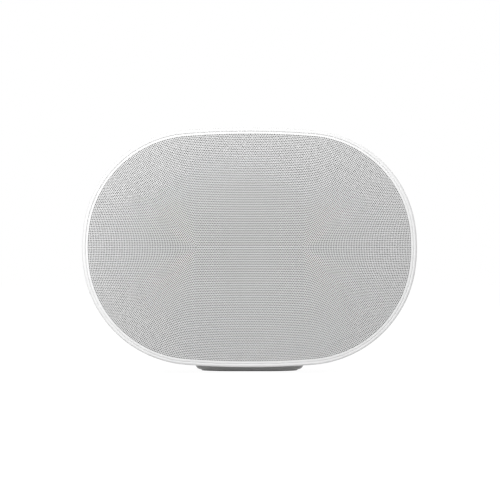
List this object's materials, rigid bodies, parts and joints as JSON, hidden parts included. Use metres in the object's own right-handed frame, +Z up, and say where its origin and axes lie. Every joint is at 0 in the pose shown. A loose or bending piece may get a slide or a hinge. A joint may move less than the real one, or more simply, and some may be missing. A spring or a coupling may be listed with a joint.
{
  "type": "smart speaker",
  "caption": "Tabletop smart speaker: white perforated oval front on a waisted body with a dark foot, angled drivers inside and ports in the back.",
  "frame": {"origin": "on the surface that the speaker stands on, under the middle of its box", "axes": "+Z up, -Y out of the front grille, +X to the right seen from the front"},
  "size_m": [0.26, 0.16, 0.1909],
  "materials": {
    "aluminium": "extruded, blasted",
    "basket_metal": "black painted pressing",
    "black_plastic": "black moulding",
    "board_laminate": "green solder mask",
    "box_plastic": "black glass-filled moulding",
    "brass": "turned brass",
    "button_plastic": "matte white moulding",
    "cone_paper": "treated paper cone",
    "copper": "enamelled copper winding",
    "copper_foil": "copper aerial strip",
    "dome_silk": "coated silk dome",
    "foot_plastic": "matte dark grey moulding",
    "foot_rubber": "soft dark rubber",
    "grille_plastic": "matte white perforated moulding",
    "lead_jacket": "black lead jacket",
    "light_pipe": "frosted light pipe",
    "magnet_metal": "coated ferrite and plated steel",
    "ribbon_film": "amber polyimide film",
    "scrim_fabric": "dark open acoustic cloth",
    "seal_rubber": "closed-cell foam rubber",
    "shell_plastic": "matte white moulding",
    "spider_fabric": "varnished corrugated cloth",
    "steel": "zinc plated",
    "surround_rubber": "half-roll surround"
  },
  "bodies": {
    "housing": {"amp_board": "board_laminate", "antennas": "copper_foil", "board_screws": "steel", "chassis_screws": "steel", "driver_leads": "lead_jacket", "driver_screws": "steel", "enclosure_back": "box_plastic", "enclosure_front": "box_plastic", "enclosure_screws": "steel", "enclosure_seal": "seal_rubber", "foot_base": "foot_plastic", "foot_pad": "foot_rubber", "foot_screws": "steel", "front_grille": "grille_plastic", "grille_scrim": "scrim_fabric", "heat_sink": "aluminium", "lead_grommet": "seal_rubber", "main_board": "board_laminate", "mount_insert": "brass", "outer_shell": "shell_plastic", "port_board": "board_laminate", "power_board": "board_laminate", "power_inlet": "black_plastic", "rear_cover": "shell_plastic", "side_grille_left": "grille_plastic", "side_grille_right": "grille_plastic", "status_light": "light_pipe", "top_grille": "grille_plastic", "touch_board": "board_laminate", "touch_panel": "shell_plastic", "touch_ribbon": "ribbon_film", "tweeter_horn_front": "black_plastic", "tweeter_horn_left": "black_plastic", "tweeter_horn_right": "black_plastic", "tweeter_horn_top": "black_plastic", "tweeter_motor_front": "magnet_metal", "tweeter_motor_left": "magnet_metal", "tweeter_motor_right": "magnet_metal", "tweeter_motor_top": "magnet_metal", "usb_port": "steel", "woofer_frame_left": "basket_metal", "woofer_frame_right": "basket_metal", "woofer_gasket_left": "seal_rubber", "woofer_gasket_right": "seal_rubber", "woofer_magnet_left": "magnet_metal", "woofer_magnet_right": "magnet_metal", "woofer_spider_left": "spider_fabric", "woofer_spider_right": "spider_fabric", "woofer_surround_left": "surround_rubber", "woofer_surround_right": "surround_rubber"},
    "woofer_cone_left": {"woofer_cone_left": "cone_paper", "woofer_coil_left": "copper"},
    "woofer_cone_right": {"woofer_cone_right": "cone_paper", "woofer_coil_right": "copper"},
    "front_tweeter_dome": {"tweeter_dome_front": "dome_silk"},
    "left_tweeter_dome": {"tweeter_dome_left": "dome_silk"},
    "right_tweeter_dome": {"tweeter_dome_right": "dome_silk"},
    "top_tweeter_dome": {"tweeter_dome_top": "dome_silk"},
    "bluetooth_button": {"bluetooth_button": "button_plastic"},
    "mic_switch": {"mic_switch": "button_plastic"}
  },
  "joints": [
    {"name": "woofer_left_stroke", "type": "slide", "parent": "housing", "child": "woofer_cone_left", "axis": [-0.8192, -0.5736, 0], "range_m": [-0.004, 0.004], "stiffness_N_per_m": 1400, "deforming": ["woofer_surround_left", "woofer_spider_left"]},
    {"name": "woofer_right_stroke", "type": "slide", "parent": "housing", "child": "woofer_cone_right", "axis": [0.8192, -0.5736, 0], "range_m": [-0.004, 0.004], "stiffness_N_per_m": 1400, "deforming": ["woofer_surround_right", "woofer_spider_right"]},
    {"name": "front_tweeter_stroke", "type": "slide", "parent": "housing", "child": "front_tweeter_dome", "axis": [0, -1, 0], "range_m": [-0.0004, 0.0004], "stiffness_N_per_m": 900},
    {"name": "left_tweeter_stroke", "type": "slide", "parent": "housing", "child": "left_tweeter_dome", "axis": [-0.7424, -0.5198, 0.4226], "range_m": [-0.0004, 0.0004], "stiffness_N_per_m": 900},
    {"name": "right_tweeter_stroke", "type": "slide", "parent": "housing", "child": "right_tweeter_dome", "axis": [0.7424, -0.5198, 0.4226], "range_m": [-0.0004, 0.0004], "stiffness_N_per_m": 900},
    {"name": "top_tweeter_stroke", "type": "slide", "parent": "housing", "child": "top_tweeter_dome", "axis": [0, -0.5, 0.866], "range_m": [-0.0004, 0.0004], "stiffness_N_per_m": 900},
    {"name": "bluetooth_button_press", "type": "slide", "parent": "housing", "child": "bluetooth_button", "axis": [0, -1, 0], "range_m": [0, 0.0008], "stiffness_N_per_m": 1200},
    {"name": "mic_switch_slide", "type": "slide", "parent": "housing", "child": "mic_switch", "axis": [1, 0, 0], "range_m": [0, 0.003]}
  ]
}
